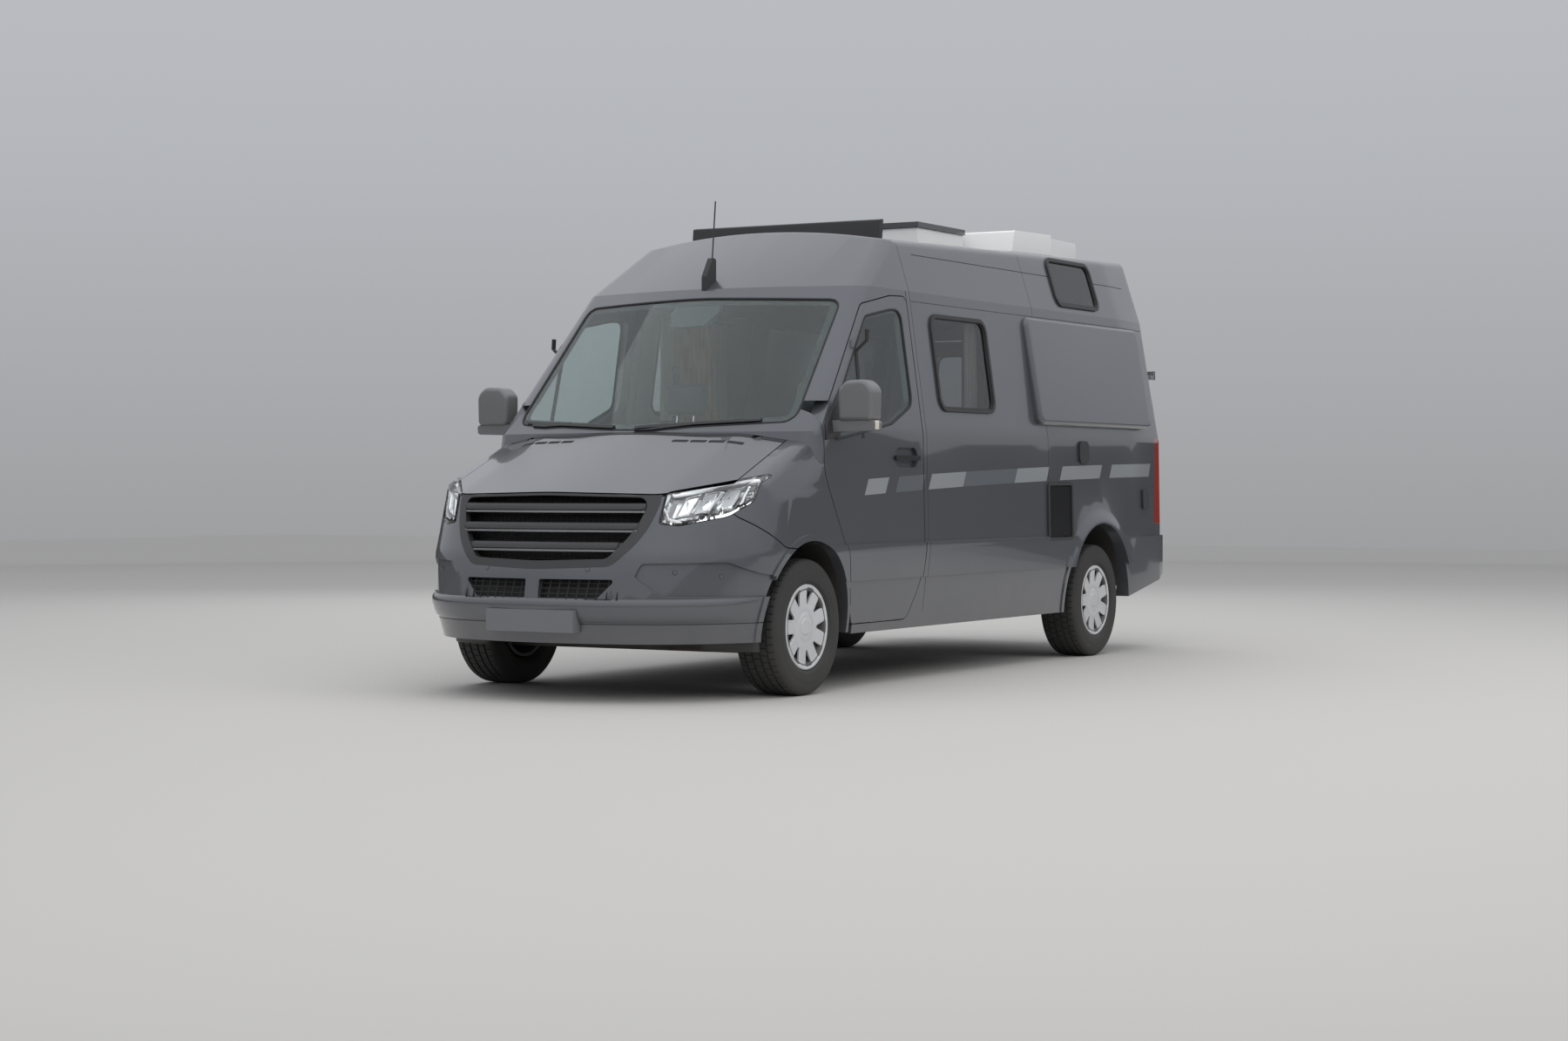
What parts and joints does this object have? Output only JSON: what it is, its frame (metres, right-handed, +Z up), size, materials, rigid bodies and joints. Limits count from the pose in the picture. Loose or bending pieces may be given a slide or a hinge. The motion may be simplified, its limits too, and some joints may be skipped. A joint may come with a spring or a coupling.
{
  "type": "camper van",
  "caption": "High-roof camper van with hinged cab doors, rear doors and bonnet, steered front wheels, framed side windows and a rooflight.",
  "frame": {"origin": "on the ground, under the middle of the van's length and width", "axes": "+X to the van's left side, -Y out of the nose, +Z up"},
  "size_m": [2.4918, 5.965, 2.6715],
  "materials": {
    "paint": "satin",
    "glass": "gloss",
    "dark_plastic": "satin",
    "lamp": "gloss",
    "red_lamp": "gloss",
    "steel": "satin",
    "casting": "matte",
    "tank": "matte",
    "tyre": "matte",
    "rim": "satin",
    "floor": "satin",
    "dash": "matte",
    "seat": "matte",
    "wood": "satin",
    "bed": "matte",
    "white": "gloss",
    "alu": "brushed",
    "black": "gloss",
    "plate": "satin"
  },
  "bodies": {
    "van": {"floor_pan": "floor", "side_left": "paint", "side_right": "paint", "sliding_door": "paint", "rear_frame": "paint", "roof": "paint", "windscreen_frame": "paint", "windscreen": "glass", "front_wings": "paint", "front_bumper": "paint", "grille": "dark_plastic", "headlamps": "lamp", "tail_lamps": "red_lamp", "rear_bumper": "paint", "side_panes": "glass", "window_frames": "dark_plastic", "underframe": "steel", "front_axle": "steel", "rear_axle": "steel", "engine": "casting", "exhaust": "alu", "tanks": "tank", "dashboard": "dash", "cab_seats": "seat", "cabinets": "wood", "bed": "bed", "rooflight_frame": "white", "aerial": "dark_plastic", "scuttle": "dark_plastic", "wipers": "dark_plastic", "hatch_frame": "dark_plastic", "side_pods": "paint", "side_trim": "dark_plastic", "plates": "plate", "roof_deflector": "dark_plastic", "roof_vents": "white"},
    "door_left_body": {"door_left": "paint", "door_left_pane": "glass", "mirror_left": "dark_plastic"},
    "door_right_body": {"door_right": "paint", "door_right_pane": "glass", "mirror_right": "dark_plastic"},
    "rear_left_body": {"rear_door_left": "paint", "rear_pane_left": "glass"},
    "rear_right_body": {"rear_door_right": "paint", "rear_pane_right": "glass"},
    "bonnet_body": {"bonnet": "paint"},
    "steer_left_body": {"knuckle_left": "casting"},
    "steer_right_body": {"knuckle_right": "casting"},
    "steering_wheel_body": {"steering_wheel": "dash"},
    "lid_body": {"rooflight_lid": "white"},
    "flap_body": {"service_flap": "black"},
    "wheel_front_left": {"tyre_front_left": "tyre", "rim_front_left": "rim"},
    "wheel_front_right": {"tyre_front_right": "tyre", "rim_front_right": "rim"},
    "wheel_rear_left": {"tyre_rear_left": "tyre", "rim_rear_left": "rim"},
    "wheel_rear_right": {"tyre_rear_right": "tyre", "rim_rear_right": "rim"}
  },
  "joints": [
    {"name": "steer_left", "type": "hinge", "parent": "van", "child": "steer_left_body", "pos_m": [0.79, -1.947, 0.347], "axis": [0, 0, 1], "range_deg": [-32, 32]},
    {"name": "steer_right", "type": "hinge", "parent": "van", "child": "steer_right_body", "pos_m": [-0.79, -1.947, 0.347], "axis": [0, 0, 1], "range_deg": [-32, 32]},
    {"name": "spin_front_left", "type": "hinge", "parent": "steer_left_body", "child": "wheel_front_left", "pos_m": [0.868, -1.947, 0.347], "axis": [1, 0, 0], "continuous": true},
    {"name": "spin_front_right", "type": "hinge", "parent": "steer_right_body", "child": "wheel_front_right", "pos_m": [-0.868, -1.947, 0.347], "axis": [1, 0, 0], "continuous": true},
    {"name": "spin_rear_left", "type": "hinge", "parent": "van", "child": "wheel_rear_left", "pos_m": [0.868, 1.718, 0.347], "axis": [1, 0, 0], "continuous": true},
    {"name": "spin_rear_right", "type": "hinge", "parent": "van", "child": "wheel_rear_right", "pos_m": [-0.868, 1.718, 0.347], "axis": [1, 0, 0], "continuous": true},
    {"name": "steering_wheel_turn", "type": "hinge", "parent": "van", "child": "steering_wheel_body", "pos_m": [0.42, -1.247, 1.165], "axis": [0, 0.8829, 0.4695], "range_deg": [-480, 480]},
    {"name": "door_left_hinge", "type": "hinge", "parent": "van", "child": "door_left_body", "pos_m": [0.999, -1.79, 1.1], "axis": [0, 0, -1], "range_deg": [0, 65]},
    {"name": "door_right_hinge", "type": "hinge", "parent": "van", "child": "door_right_body", "pos_m": [-0.999, -1.79, 1.1], "axis": [0, 0, 1], "range_deg": [0, 65]},
    {"name": "rear_left_hinge", "type": "hinge", "parent": "van", "child": "rear_left_body", "pos_m": [0.88, 2.926, 1.4], "axis": [0, 0, -1], "range_deg": [0, 165]},
    {"name": "rear_right_hinge", "type": "hinge", "parent": "van", "child": "rear_right_body", "pos_m": [-0.88, 2.926, 1.4], "axis": [0, 0, 1], "range_deg": [0, 165]},
    {"name": "bonnet_hinge", "type": "hinge", "parent": "van", "child": "bonnet_body", "pos_m": [0, -1.96, 1.302], "axis": [-1, 0, 0], "range_deg": [0, 60]},
    {"name": "rooflight_hinge", "type": "hinge", "parent": "van", "child": "lid_body", "pos_m": [0, 1.22, 2.6125], "axis": [-1, 0, 0], "range_deg": [0, 60]},
    {"name": "service_flap_hinge", "type": "hinge", "parent": "van", "child": "flap_body", "pos_m": [1.006, 0.969, 0.9], "axis": [0, 0, -1], "range_deg": [0, 110]}
  ],
  "couplings": [
    {"joint": "steer_right", "follows": "steer_left", "ratio": 1},
    {"joint": "steering_wheel_turn", "follows": "steer_left", "ratio": 15}
  ]
}
